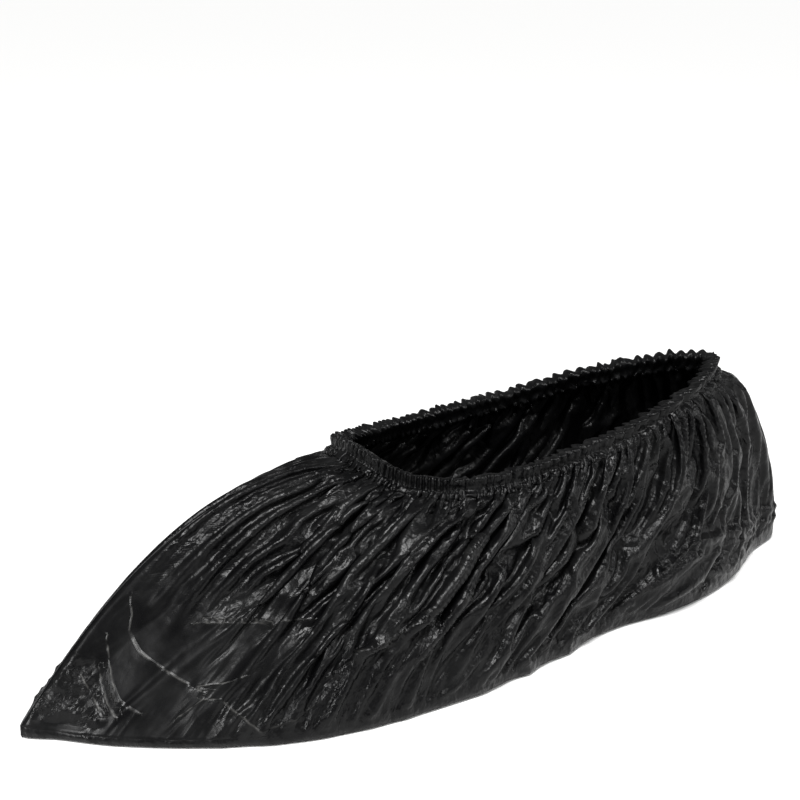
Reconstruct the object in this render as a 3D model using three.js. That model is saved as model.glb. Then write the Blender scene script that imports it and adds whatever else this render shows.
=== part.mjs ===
// Disposable boot cover: a thin film bag in the form it takes over a work boot, standing on its sole.
// Millimetres, +Z up, toe towards -Y, heel towards +Y. The origin is on the floor under the bag's middle.

import * as THREE from 'three';

// Walls and gaps
const WALL = 1.0;
const GAP = 0.3;
const SLIT = 0.35; // half the space left between the two layers where the bag is pinched flat
const LEAST_RISE = 0.2; // how far the inner wall stays above the inner face of the sole

// The hem: a band of film folded over the elastic
const BAND_HEIGHT = 8.0;
const BAND_THICKNESS = 5.2;
const BAND_EDGE = 1.2;
const ELASTIC_WIDTH = 4.0;
const ELASTIC_THICKNESS = 1.0;
const ELASTIC_DROP = 4.2;

// Pleats: one column out and the next one in, all the way round
const COLUMNS_PER_SIDE = 72;
const BAND_PLEAT = 0.7;
const BAND_RUFFLE = 0.5;
const BAG_PLEAT = 1.5;
const PLEAT_OPENING = 1 / 6; // share of the wall over which the pleats open to their full depth

// Folds: how quickly a ridge turns into the valleys beside it, how evenly it swells along its length,
// the share of the wall over which it dies away above the sole, and the stations over which it does so
// beside a seam
const RIDGE_SHARPNESS = 0.9;
const FOLD_SWELL = 0.7;
const FOOT_FADE = 1 / 3;
const SEAM_FADE = 1;

// How the wall is divided from the hem down to the sole, and how the edge of the sole rounds under:
// each row goes further in from the edge and rises by a share of the station's lift
const WALL_ROWS = 11;
const EDGE_ROUND = [
  { inset: 1.6, rise: 0.3 },
  { inset: 5.5, rise: 0.0 },
];
const MOST_RISE = 1.2;
const MOST_INSET = 0.7; // share of the way from the edge to the sole's middle line
const SOLE_SPINE_Y = 160; // half the length of that middle line

// A list of rows that have named columns.
function table(columns, rows) {
  return rows.map((row) => Object.fromEntries(columns.map((column, k) => [column, row[k]])));
}

// One side of the bag, a row for each station from the toe seam round to the heel seam.
//   soleX, soleY        edge of the sole on the floor
//   hemX, hemY, hemZ    top edge of the hem
//   lean                how far the hem leans in over the opening, in degrees from upright
//   reach, fall         fullness of the wall between the two, as exponents of its curve
//   lift                height at which the wall meets the rounded edge of the sole
//   pleat               how far down the wall the pleats of the hem run, as a share of it
const STATIONS = table(
  ['soleX', 'soleY', 'hemX', 'hemY', 'hemZ', 'lean', 'reach', 'fall', 'lift', 'pleat'], [
    [0, -184, 0, -48, 88, 34, 2.45, 0.96, 5, 0.5],
    [10, -173, 8, -47, 87, 34, 2.05, 0.93, 4, 0.55],
    [25, -157, 17, -45, 85, 30, 1.5, 0.97, 4, 0.6],
    [42, -132, 26, -40, 82, 25, 1.3, 1.05, 4, 0.6],
    [55, -105, 33, -32, 80, 20, 1.2, 1.2, 5, 0.55],
    [61, -77, 38, -20, 79, 16, 1.3, 1.65, 5, 0.5],
    [62, -47, 41, -4, 79, 12, 1.25, 1.7, 5, 0.4],
    [59, -14, 41, 14, 80, 10, 1.2, 1.7, 5, 0.35],
    [52, 17, 40, 33, 82, 10, 1.2, 1.7, 5, 0.3],
    [44, 47, 38, 52, 84, 10, 1.2, 1.7, 5, 0.3],
    [43, 76, 35, 71, 87, 10, 1.2, 1.7, 5, 0.25],
    [39, 104, 31, 90, 90, 10, 1.25, 1.6, 5, 0.25],
    [29, 132, 24, 109, 93, 12, 1.4, 1.55, 5, 0.25],
    [12, 161, 13, 128, 96, 14, 1.6, 1.45, 6, 0.25],
    [0, 184, 0, 139, 97, 14, 1.65, 1.35, 8, 0.25],
  ]);
const LAST = STATIONS.length - 1;

// The main folds, a row for each. A fold is a ridge with a valley behind it, along the wall.
//   side          +1 for the +X wall, -1 for the -X wall
//   at, drift     station at the top of the fold, and how far it drifts by the foot
//   top, foot     where it starts and ends down the wall, as shares of it
//   depth, width  height of the ridge in millimetres, and its width in stations
const FOLDS = table(['side', 'at', 'drift', 'top', 'foot', 'depth', 'width'], [
  [1, 1.0, 0.3, 0.0, 0.6, 1.8, 0.42],
  [1, 2.2, 0.1, 0.0, 0.7, 2.8, 0.5],
  [1, 3.4, -0.2, 0.05, 0.75, 4.6, 0.5],
  [1, 4.5, -0.3, 0.05, 0.8, 4.9, 0.5],
  [1, 5.6, -0.5, 0.05, 0.9, 4.6, 0.5],
  [1, 6.8, -0.6, 0.05, 0.8, 4.9, 0.5],
  [1, 8.0, -0.6, 0.1, 0.75, 4.3, 0.5],
  [1, 9.3, -0.3, 0.1, 0.7, 3.8, 0.5],
  [1, 10.6, 0.3, 0.05, 0.6, 4.1, 0.5],
  [1, 11.8, 0.6, 0.0, 0.7, 4.1, 0.5],
  [1, 13.0, 0.4, 0.1, 0.8, 3.2, 0.42],
  [-1, 1.3, 0.3, 0.0, 0.65, 1.4, 0.42],
  [-1, 2.6, 0.0, 0.0, 0.7, 2.0, 0.5],
  [-1, 3.9, -0.3, 0.05, 0.8, 3.4, 0.5],
  [-1, 5.1, -0.3, 0.05, 0.75, 4.6, 0.5],
  [-1, 6.3, -0.6, 0.05, 0.85, 4.9, 0.5],
  [-1, 7.6, -0.6, 0.05, 0.75, 4.3, 0.5],
  [-1, 8.8, -0.4, 0.1, 0.7, 4.1, 0.5],
  [-1, 10.0, 0.2, 0.1, 0.7, 3.8, 0.5],
  [-1, 11.3, 0.5, 0.05, 0.65, 4.1, 0.5],
  [-1, 12.6, 0.5, 0.05, 0.8, 3.5, 0.42],
]);

const UP = new THREE.Vector3(0, 0, 1);

// A station past either seam is its mirror image on the other side of the bag.
function stationRow(index) {
  if (index >= 0 && index <= LAST) return STATIONS[index];
  const row = STATIONS[index < 0 ? -index : 2 * LAST - index];
  return { ...row, soleX: -row.soleX, hemX: -row.hemX };
}

// A smooth curve through one column of the station table.
function stationValue(column, s) {
  const i = Math.min(Math.floor(s), LAST - 1);
  const t = s - i;
  const [a, b, c, d] = [-1, 0, 1, 2].map((k) => stationRow(i + k)[column]);
  const slopeB = (c - a) / 2;
  const slopeC = (d - b) / 2;
  const t2 = t * t;
  const t3 = t2 * t;
  return (2 * t3 - 3 * t2 + 1) * b + (t3 - 2 * t2 + t) * slopeB + (3 * t2 - 2 * t3) * c + (t3 - t2) * slopeC;
}

// The columns of the mesh, anticlockwise from the toe seam as seen from above.
function makeColumns() {
  const step = LAST / COLUMNS_PER_SIDE;
  const columns = [];
  for (let i = 0; i < COLUMNS_PER_SIDE; i++) columns.push({ side: 1, s: i * step });
  for (let i = COLUMNS_PER_SIDE; i > 0; i--) columns.push({ side: -1, s: i * step });
  columns.forEach((column, i) => {
    column.zigzag = i % 2 ? 1 : -1;
    column.seam = i % COLUMNS_PER_SIDE === 0;
  });
  return columns;
}
const COLUMNS = makeColumns();
const COUNT = COLUMNS.length;

const hemTop = ({ side, s }) => new THREE.Vector3(
  side * stationValue('hemX', s), stationValue('hemY', s), stationValue('hemZ', s));
const soleEdge = ({ side, s }) => new THREE.Vector3(
  side * stationValue('soleX', s), stationValue('soleY', s), 0);

// The hem's own directions at a column: out through the band, and along the band towards its top edge.
function hemFrame(i) {
  const before = hemTop(COLUMNS[(i + COUNT - 1) % COUNT]);
  const after = hemTop(COLUMNS[(i + 1) % COUNT]);
  const along = after.sub(before).setZ(0).normalize();
  const outward = new THREE.Vector3().crossVectors(along, UP);
  const lean = THREE.MathUtils.degToRad(stationValue('lean', COLUMNS[i].s));
  return {
    out: outward.clone().multiplyScalar(Math.cos(lean)).addScaledVector(UP, Math.sin(lean)),
    top: UP.clone().multiplyScalar(Math.cos(lean)).addScaledVector(outward, -Math.sin(lean)),
  };
}
const FRAMES = COLUMNS.map((column, i) => hemFrame(i));

// A point of the hem, from its distance out of the band's outer face and its distance below the top edge.
function hemPoint(i, out, below) {
  return hemTop(COLUMNS[i]).addScaledVector(FRAMES[i].out, out).addScaledVector(FRAMES[i].top, -below);
}

// The smooth wall of one column, from just under the band down to the sole, in equal steps.
function wallColumn(i) {
  const column = COLUMNS[i];
  const head = hemPoint(i, 0, BAND_HEIGHT + GAP);
  const foot = soleEdge(column).setZ(stationValue('lift', column.s));
  const reach = 2 / stationValue('reach', column.s);
  const fall = 2 / stationValue('fall', column.s);
  const points = [];
  for (let k = 0; k <= 2 * WALL_ROWS; k++) {
    const angle = (k / (2 * WALL_ROWS)) * (Math.PI / 2);
    const point = head.clone().lerp(foot, Math.sin(angle) ** reach);
    point.z = THREE.MathUtils.lerp(foot.z, head.z, Math.abs(Math.cos(angle)) ** fall);
    points.push(point);
  }
  return new THREE.CatmullRomCurve3(points).getSpacedPoints(WALL_ROWS);
}

// The rounded edge under the wall, drawn in towards the sole's middle line.
function edgeColumn(i) {
  const edge = soleEdge(COLUMNS[i]);
  const spine = new THREE.Vector3(0, THREE.MathUtils.clamp(edge.y, -SOLE_SPINE_Y, SOLE_SPINE_Y), 0);
  const inwards = spine.sub(edge);
  return EDGE_ROUND.map(({ inset, rise }) => {
    const share = Math.min(inset / inwards.length(), MOST_INSET);
    const height = Math.min(rise * stationValue('lift', COLUMNS[i].s), MOST_RISE);
    return edge.clone().addScaledVector(inwards, share).setZ(height);
  });
}

// A ridge of height one at zero, with a valley on each side of it.
function ridge(x) {
  return (1 - x * x) * Math.exp(-RIDGE_SHARPNESS * x * x);
}

// The height of a fold along its length: it swells soon after the top and tapers down to the foot.
function foldWindow(v, top, foot) {
  const along = (v - top) / (foot - top);
  return along <= 0 || along >= 1 ? 0 : Math.sin(Math.PI * Math.sqrt(along)) ** FOLD_SWELL;
}

function foldHeight({ side, s }, v) {
  return FOLDS.filter((fold) => fold.side === side).reduce((sum, fold) => {
    const across = (s - fold.at - fold.drift * v) / fold.width;
    return sum + fold.depth * ridge(across) * foldWindow(v, fold.top, fold.foot);
  }, 0);
}

// The zigzag of the hem's pleats, which dies away down the wall.
function pleatHeight(column, v) {
  const left = Math.max(0, 1 - v / stationValue('pleat', column.s));
  const opened = Math.min(1, v / PLEAT_OPENING);
  return column.zigzag * THREE.MathUtils.lerp(BAND_PLEAT, BAG_PLEAT, opened) * left;
}

// Rings of points all round the bag, from the hem down: a ring holds one point for each column.
function smoothRings() {
  const columns = COLUMNS.map((column, i) => [...wallColumn(i), ...edgeColumn(i)]);
  return columns[0].map((_, row) => columns.map((points) => points[row]));
}

function normalAt(rings, row, i) {
  const along = rings[row][(i + 1) % COUNT].clone().sub(rings[row][(i + COUNT - 1) % COUNT]);
  const upper = rings[Math.max(row - 1, 0)][i];
  const lower = rings[Math.min(row + 1, rings.length - 1)][i];
  return along.cross(upper.clone().sub(lower)).normalize();
}

// The outer face with its pleats and folds. The flat of the sole and the seams stay as they are.
function outerRings(smooth) {
  return smooth.map((ring, row) => ring.map((point, i) => {
    if (row > WALL_ROWS) return point.clone();
    const v = row / WALL_ROWS;
    const column = COLUMNS[i];
    const fromSeam = Math.min(1, column.s / SEAM_FADE, (LAST - column.s) / SEAM_FADE);
    const fromFoot = Math.min(1, (1 - v) / FOOT_FADE);
    const height = pleatHeight(column, v) + fromSeam * fromFoot * foldHeight(column, v);
    const direction = row === 0 ? FRAMES[i].out : normalAt(smooth, row, i);
    return point.clone().addScaledVector(direction, height);
  }));
}

// The inner face, one wall in from the outer one and never past the middle of a pinched end.
function innerRings(smooth, outer) {
  return outer.map((ring, row) => ring.map((point, i) => {
    const column = COLUMNS[i];
    const direction = row === 0 ? FRAMES[i].out : normalAt(smooth, row, i);
    const inner = point.clone().addScaledVector(direction, -WALL);
    inner.x = column.seam ? 0 : column.side * Math.max(column.side * inner.x, SLIT);
    inner.z = row > WALL_ROWS ? WALL + point.z : Math.max(inner.z, WALL + LEAST_RISE);
    return inner;
  }));
}

// Collects triangles and makes a mesh of them.
class Facets {
  constructor() {
    this.positions = [];
  }

  triangle(a, b, c) {
    for (const p of [a, b, c]) this.positions.push(p.x, p.y, p.z);
  }

  // A band of faces between two rings, facing away from the axis when upper is above lower.
  band(upper, lower) {
    for (let i = 0; i < upper.length; i++) {
      const next = (i + 1) % upper.length;
      this.triangle(upper[i], lower[i], lower[next]);
      this.triangle(upper[i], lower[next], upper[next]);
    }
  }

  // Fills a ring that is the same on both sides of its middle line, facing down or up.
  floor(ring, facingUp) {
    const across = (i) => ring[(ring.length - i) % ring.length];
    const add = (a, b, c) => (facingUp ? this.triangle(a, c, b) : this.triangle(a, b, c));
    for (let i = 0; i < ring.length / 2; i++) {
      if (i > 0) add(ring[i], across(i), ring[i + 1]);
      if (i + 1 < ring.length / 2) add(ring[i + 1], across(i), across(i + 1));
    }
  }

  mesh(name, material) {
    const geometry = new THREE.BufferGeometry();
    geometry.setAttribute('position', new THREE.Float32BufferAttribute(this.positions, 3));
    geometry.computeVertexNormals();
    const mesh = new THREE.Mesh(geometry, material);
    mesh.name = name;
    return mesh;
  }
}

function filmBag(material) {
  const smooth = smoothRings();
  const outer = outerRings(smooth);
  const inner = innerRings(smooth, outer);
  const facets = new Facets();
  for (let row = 0; row + 1 < outer.length; row++) {
    facets.band(outer[row], outer[row + 1]);
    facets.band(inner[row + 1], inner[row]);
  }
  facets.band(inner[0], outer[0]);
  facets.floor(outer.at(-1), false);
  facets.floor(inner.at(-1), true);
  return facets.mesh('film_bag', material);
}

// A closed ring swept round the hem. The section is listed clockwise, as out and below.
function hemSweep(name, section, material, { pleated, columnStep }) {
  const used = COLUMNS.map((column, i) => i).filter((i) => i % columnStep === 0);
  const rings = section.map(({ out, below }) => used.map((i) => {
    const zigzag = pleated ? COLUMNS[i].zigzag : 0;
    const ruffle = zigzag * BAND_RUFFLE * (1 - below / BAND_HEIGHT);
    return hemPoint(i, out + zigzag * BAND_PLEAT, below - ruffle);
  }));
  const facets = new Facets();
  rings.forEach((ring, k) => facets.band(ring, rings[(k + 1) % rings.length]));
  return facets.mesh(name, material);
}

// The band is an upside-down U: outer leg, rounded top, inner leg, and the pocket between the legs.
function gatheredHem(material) {
  const back = -BAND_THICKNESS;
  const pocketTop = WALL + BAND_EDGE / 2;
  return hemSweep('gathered_hem', [
    { out: -BAND_EDGE, below: 0 },
    { out: 0, below: BAND_EDGE },
    { out: 0, below: BAND_HEIGHT },
    { out: -WALL, below: BAND_HEIGHT },
    { out: -WALL, below: pocketTop },
    { out: back + WALL, below: pocketTop },
    { out: back + WALL, below: BAND_HEIGHT },
    { out: back, below: BAND_HEIGHT },
    { out: back, below: BAND_EDGE },
    { out: back + BAND_EDGE, below: 0 },
  ], material, { pleated: true, columnStep: 1 });
}

function elasticRing(material) {
  const middle = -BAND_THICKNESS / 2;
  const half = ELASTIC_THICKNESS / 2;
  const top = ELASTIC_DROP - ELASTIC_WIDTH / 2;
  return hemSweep('elastic_ring', [
    { out: middle + half, below: top },
    { out: middle + half, below: top + ELASTIC_WIDTH },
    { out: middle - half, below: top + ELASTIC_WIDTH },
    { out: middle - half, below: top },
  ], material, { pleated: false, columnStep: 2 });
}

const film = new THREE.MeshStandardMaterial({ color: 0x17181a, roughness: 0.38, metalness: 0, flatShading: true });
const hem = new THREE.MeshStandardMaterial({ color: 0x1b1c1e, roughness: 0.42, metalness: 0, flatShading: true });
const elastic = new THREE.MeshStandardMaterial({ color: 0xd8d4c8, roughness: 0.8, metalness: 0 });

const bootCover = new THREE.Group();
bootCover.add(filmBag(film), gatheredHem(hem), elasticRing(elastic));

export default bootCover;
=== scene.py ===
# %% [markdown]
# # A disposable boot cover of thin black film
# The cover is a bag of two film panels, welded to each other at the toe and at the heel, with an
# elastic in the hem of its mouth. It is shown in the form it takes over a work boot. The packed
# model gives the frame; here the film is draped as cloth, because its look is all folds.

# %% The frame and the units
import math
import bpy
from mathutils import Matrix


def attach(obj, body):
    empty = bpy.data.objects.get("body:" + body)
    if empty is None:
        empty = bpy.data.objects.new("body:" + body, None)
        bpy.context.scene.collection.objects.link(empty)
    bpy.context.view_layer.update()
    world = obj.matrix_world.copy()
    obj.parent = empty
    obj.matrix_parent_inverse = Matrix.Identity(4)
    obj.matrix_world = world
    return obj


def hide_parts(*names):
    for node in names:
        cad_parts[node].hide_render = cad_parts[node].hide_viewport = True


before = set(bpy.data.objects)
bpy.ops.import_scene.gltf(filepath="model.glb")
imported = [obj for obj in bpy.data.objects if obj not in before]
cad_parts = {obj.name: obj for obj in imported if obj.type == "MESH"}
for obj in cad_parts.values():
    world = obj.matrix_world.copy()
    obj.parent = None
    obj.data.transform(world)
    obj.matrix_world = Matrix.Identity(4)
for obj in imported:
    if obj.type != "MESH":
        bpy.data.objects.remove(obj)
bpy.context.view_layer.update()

from types import SimpleNamespace

import bmesh
import bpy
import numpy as np
from mathutils import Matrix, Vector

MM = 0.001  # the shapes are worked out in millimetres, and meshes are in metres
NEAR, FAR = 1, -1  # the panel on the +X side, and the one on the -X side
TINY = 1e-9  # keeps a division from being by nought

# %% [markdown]
# ## The camera
# A photograph is matched first by its camera. The viewing angle and the distance were fitted to the
# outline of the cover, so the camera is turned to look along one direction, with no shift.

# %% The camera
CAMERA_AZIMUTH = math.radians(58.443)
CAMERA_ELEVATION = math.radians(16.938)
CAMERA_TARGET = Vector((-171.27, 80.15, 40.0)) * MM
CAMERA_DISTANCE = 800 * MM
CAMERA_LENS = 67.8


def add_object(name, data):
    thing = bpy.data.objects.new(name, data)
    bpy.context.scene.collection.objects.link(thing)
    return thing


def look_from(place, target):
    turn = (place - target).to_track_quat("Z", "Y").to_matrix().to_4x4()
    return Matrix.Translation(place) @ turn


towards_camera = Vector((
    math.sin(CAMERA_AZIMUTH) * math.cos(CAMERA_ELEVATION),
    -math.cos(CAMERA_AZIMUTH) * math.cos(CAMERA_ELEVATION),
    math.sin(CAMERA_ELEVATION),
))
camera_data = bpy.data.cameras.new("camera")
camera_data.lens = CAMERA_LENS
camera_data.clip_start = 10 * MM
camera = add_object("camera", camera_data)
camera.matrix_world = look_from(CAMERA_TARGET + towards_camera * CAMERA_DISTANCE, CAMERA_TARGET)
bpy.context.scene.camera = camera
print("camera at", [round(value, 3) for value in camera.matrix_world.translation])

# %% [markdown]
# ## The form that the film lies on
# The film takes the form of the boot inside. The solids were lofted through fifteen stations from the
# toe seam to the heel seam, and the same table is used here, so the panels lie where the solids are.
# Each row gives the sole's edge, the top of the hem, how far the hem leans, and how the wall curves.

# %% The stations
STATION_COLUMNS = ("sole_x", "sole_y", "hem_x", "hem_y", "hem_z", "lean", "reach", "fall", "lift")
STATIONS = np.array([
    (0, -184, 0, -48, 88, 34, 2.45, 0.96, 5),
    (10, -173, 8, -47, 87, 34, 2.05, 0.93, 4),
    (25, -157, 17, -45, 85, 30, 1.5, 0.97, 4),
    (42, -132, 26, -40, 82, 25, 1.3, 1.05, 4),
    (55, -105, 33, -32, 80, 20, 1.2, 1.2, 5),
    (61, -77, 38, -20, 79, 16, 1.3, 1.65, 5),
    (62, -47, 41, -4, 79, 12, 1.25, 1.7, 5),
    (59, -14, 41, 14, 80, 10, 1.2, 1.7, 5),
    (52, 17, 40, 33, 82, 10, 1.2, 1.7, 5),
    (44, 47, 38, 52, 84, 10, 1.2, 1.7, 5),
    (43, 76, 35, 71, 87, 10, 1.2, 1.7, 5),
    (39, 104, 31, 90, 90, 10, 1.25, 1.6, 5),
    (29, 132, 24, 109, 93, 12, 1.4, 1.55, 5),
    (12, 161, 13, 128, 96, 14, 1.6, 1.45, 6),
    (0, 184, 0, 139, 97, 14, 1.65, 1.35, 8),
], dtype=float)
LAST = len(STATIONS) - 1


def station_value(column, s):
    """A column of the table at a station number that may lie between rows, on a smooth curve."""
    index = STATION_COLUMNS.index(column)
    mirrored = column.endswith("_x")
    s = np.asarray(s, dtype=float)
    sign = np.where((s < 0) | (s > LAST), -1.0, 1.0) if mirrored else 1.0
    s = np.abs(s)
    s = np.where(s > LAST, 2 * LAST - s, s)
    row = np.minimum(np.floor(s).astype(int), LAST - 1)
    t = s - row

    def at(number):
        inside = np.where(number < 0, -number, np.where(number > LAST, 2 * LAST - number, number))
        value = STATIONS[inside, index]
        return np.where((number < 0) | (number > LAST), -value, value) if mirrored else value

    before, start, end, after = at(row - 1), at(row), at(row + 1), at(row + 2)
    rise_in, rise_out = (end - before) / 2, (after - start) / 2
    return sign * (
        (2 * t**3 - 3 * t**2 + 1) * start + (t**3 - 2 * t**2 + t) * rise_in
        + (3 * t**2 - 2 * t**3) * end + (t**3 - t**2) * rise_out
    )


def hem_top(s, side):
    """The top edge of the hem."""
    return np.stack([side * station_value("hem_x", s), station_value("hem_y", s),
                     station_value("hem_z", s)], axis=-1)


def hem_directions(s, side):
    """The directions out of the hem band and up along it, which lean with the band."""
    step = 0.05
    along = (hem_top(s + step, side) - hem_top(s - step, side)) * side
    along[..., 2] = 0
    along /= np.linalg.norm(along, axis=-1, keepdims=True)
    up = np.array([0.0, 0.0, 1.0])
    outward = np.cross(along, up)
    lean = np.radians(station_value("lean", s))[..., None]
    return outward * np.cos(lean) + up * np.sin(lean), up * np.cos(lean) - outward * np.sin(lean)


print("stations", len(STATIONS))

# %% [markdown]
# ## A panel before it is gathered
# A panel is a plain rectangle of film, so its mesh is a grid. Its columns run from the hem down to the
# sole's edge and under the boot to the middle of the sole, and stand equally far apart on the sole's
# edge, where the film is not gathered. Its rows run from the toe seam to the heel seam.

# %% The grid of a panel
COLUMNS = 430
BAND_HEIGHT = 8.3
BAND_ROWS = 9
WALL_ROWS = 96
UNDER_INSETS = (0.02, 0.15, 0.8, 3.0)  # mm in from the sole's edge, times the spread
UNDER_SPREAD = 1.6
MOST_INSET = 0.75  # of the way to the middle line
UNDER_RISES = (0.6, 0.27, 0.08, 0.0)  # of the height of the wall's foot
UNDER_ROWS = 8
LEAST_RISE = 0.3
FILM_SLACK = 1.04  # the cut is a little longer than the boot, so the film is loose
EDGE_STEPS = 2001  # samples along the sole's edge
CURVE_STEPS = 81  # samples down the wall


def arc_lengths(points):
    steps = np.linalg.norm(np.diff(points, axis=0), axis=-1)
    return np.concatenate([np.zeros_like(steps[:1]), np.cumsum(steps, axis=0)])


def column_stations():
    """Station numbers of the columns, with equal steps on the sole's edge."""
    s = np.linspace(0, LAST, EDGE_STEPS)
    edge = np.stack([station_value("sole_x", s), station_value("sole_y", s)], axis=-1)
    length = arc_lengths(edge)
    return np.interp(np.linspace(0, length[-1], COLUMNS), length, s), length[-1]


def wall_rows(s, side):
    """The wall from under the hem to the sole's edge, a quarter of a swollen ellipse."""
    _, top = hem_directions(s, side)
    head = hem_top(s, side) - top * BAND_HEIGHT
    foot = np.stack([side * station_value("sole_x", s), station_value("sole_y", s),
                     station_value("lift", s)], axis=-1)
    angle = np.linspace(0, np.pi / 2, CURVE_STEPS)[:, None]
    reach = (np.sin(angle) ** (2 / station_value("reach", s)))[..., None]
    fall = np.cos(angle).clip(0) ** (2 / station_value("fall", s))
    curve = head * (1 - reach) + foot * reach
    curve[..., 2] = foot[:, 2] * (1 - fall) + head[:, 2] * fall
    length = arc_lengths(curve)
    wanted = np.linspace(0, 1, WALL_ROWS)
    rows = np.empty((WALL_ROWS, len(s), 3))
    for column in range(len(s)):
        for axis in range(3):
            rows[:, column, axis] = np.interp(
                wanted * length[-1, column], length[:, column], curve[:, column, axis])
    return rows, length[-1]


def band_rows(s, side):
    """The outside of the hem band, from its top edge down to the wall."""
    _, top = hem_directions(s, side)
    below = np.linspace(0, BAND_HEIGHT, BAND_ROWS + 1)[:-1]
    return hem_top(s, side)[None] - below[:, None, None] * top[None]


def under_rows(foot):
    """The film rolled in under the boot, from the sole's edge to the middle line."""
    half_width = np.abs(foot[:, 0])
    rows = []
    for inset, rise in zip(UNDER_INSETS, UNDER_RISES):
        share = np.minimum(inset * UNDER_SPREAD / np.maximum(half_width, TINY), MOST_INSET)
        z = np.maximum(foot[:, 2] * rise, LEAST_RISE)
        rows.append(np.stack([foot[:, 0] * (1 - share), foot[:, 1], z], axis=-1))
    rolled = rows[-1]
    for share in np.linspace(0, 1, UNDER_ROWS + 1)[1:]:
        rows.append(np.stack([rolled[:, 0] * (1 - share), rolled[:, 1],
                              np.full(len(foot), LEAST_RISE)], axis=-1))
    return np.array(rows)


def surface_normals(points, side):
    along = np.gradient(points, axis=1) * side
    down = -np.gradient(points, axis=0)
    normal = np.cross(along, down)
    return normal / np.maximum(np.linalg.norm(normal, axis=-1, keepdims=True), TINY)


column_s, sole_length = column_stations()
flat_column = sole_length / (COLUMNS - 1)
print("sole's edge from seam to seam", round(sole_length, 1), "mm")

# %% [markdown]
# ## Where the film folds
# The elastic pulls about twice its own length of film together. The film answers with pleats that are
# fine at the hem and join into fewer and wider folds further down. Waves of four lengths, one taking
# over from the next, give the film that start; the long folds that the boot's form makes, and single
# creases, are laid on top. Noise from fixed seeds keeps them from looking ruled.

# %% Waves, folds and creases
WAVES = ((6.0, 0.0), (10.5, 8.0), (21.0, 22.0), (38.0, 50.0))  # length of film, depth below the hem
PLACES = (0, 2, 4, 6, 8, 10, 12, 14)  # the stations that tables of eight values are given at
WAVE_GROWTH = (1.0, 1.0, 1.0, 1.0, 1.15, 1.45, 1.45, 1.3)  # times the length of a wave
WAVE_SHARE = 0.9  # of the height that would take up all the gathered film
WARP_PITCH, WARP_REACH = 2.2, 0.33  # how unevenly the waves are spaced, in their lengths
SWELL_PITCH, SWELL_REACH = 1.3, 0.3  # how unevenly high they are
PLEAT_WAVES = 2  # the first waves, which have round crests
CREST_POWER, CREST_LEVEL = 0.85, 1.35  # how round a crest is, and how high it would be over all
BELOW_ALL = 400  # mm, further down than any film
PANEL_SEEDS = {NEAR: 100, FAR: 200}
SWELL_SEED, SMALL_SEED, TIP_SEED, BROAD_SEED, RUFFLE_SEED, BUNCH_SEED = 10, 30, 35, 40, 50, 72
FOLD_SWELL = 1.9
FURROW_FADE, FOLD_ENDS = 0.9, 0.7  # how narrow a furrow is, and how bluntly a fold ends
STATION_PITCH = 28.5  # mm from one station to the next, near enough
CREST_ROUND = 0.6  # mm over which a crease turns
FAR_AWAY = 4.0  # mm from a crease past which its distance no longer matters
# Broad folds as station number, how far it moves on the way down, the shares of the wall at which the
# fold starts and ends, its depth in mm and its half width in stations.
FOLDS = {
    NEAR: (
        (1.0, 0.3, 0, 0.6, 1.2, 0.42), (2.2, 0.1, 0, 0.7, 1.6, 0.5), (3.4, -0.2, 0.05, 0.75, 2.6, 0.5),
        (4.5, -0.3, 0.05, 0.8, 3.4, 0.5), (5.6, -0.5, 0.05, 0.9, 3.4, 0.5),
        (6.8, -0.6, 0.05, 0.8, 3.6, 0.5), (8.0, -0.6, 0.1, 0.75, 3.2, 0.5),
        (9.3, -0.3, 0.1, 0.7, 2.8, 0.5), (10.6, 0.3, 0.05, 0.6, 3.0, 0.5),
        (11.8, 0.6, 0, 0.7, 3.0, 0.5), (13.0, 0.4, 0.1, 0.8, 2.2, 0.42),
    ),
    FAR: (
        (1.3, 0.3, 0, 0.65, 1.0, 0.42), (2.6, 0, 0, 0.7, 1.4, 0.5), (3.9, -0.3, 0.05, 0.8, 2.4, 0.5),
        (5.1, -0.3, 0.05, 0.75, 3.2, 0.5), (6.3, -0.6, 0.05, 0.85, 3.4, 0.5),
        (7.6, -0.6, 0.05, 0.75, 3.2, 0.5), (8.8, -0.4, 0.1, 0.7, 3.0, 0.5),
        (10.0, 0.2, 0.1, 0.7, 2.8, 0.5), (11.3, 0.5, 0.05, 0.65, 3.0, 0.5),
        (12.6, 0.5, 0.05, 0.8, 2.5, 0.42),
    ),
}
# Single creases as height and half width in mm, then the station number and the share of the wall of
# each point, both in hundredths.
CREASES = {
    NEAR: (
        (2.4, 3.0, 546, 2, 568, 25, 571, 44, 541, 57, 508, 66),
        (2.8, 3.2, 680, 10, 655, 29, 629, 44, 599, 57, 568, 69),
        (2.2, 2.6, 604, 21, 578, 39, 554, 55, 505, 66, 454, 76),
        (-3.0, 3.4, 850, 0, 913, 23, 935, 32),
        (1.8, 2.2, 898, 22, 833, 35, 776, 50),
        (1.6, 2.4, 1113, 70, 1074, 66, 986, 80, 916, 96),
        (-3.2, 3.6, 1142, 2, 1200, 20, 1244, 39),
        (1.6, 2.6, 1362, 90, 1260, 84, 1113, 76),
    ),
    FAR: (
        (2.4, 3.0, 510, 5, 530, 30, 500, 60),
        (2.6, 3.2, 720, 10, 680, 40, 600, 70),
        (-3.0, 3.4, 900, 0, 940, 30),
        (1.6, 2.4, 1100, 70, 1000, 80, 920, 95),
        (-3.0, 3.6, 1160, 2, 1220, 35),
    ),
}
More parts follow.
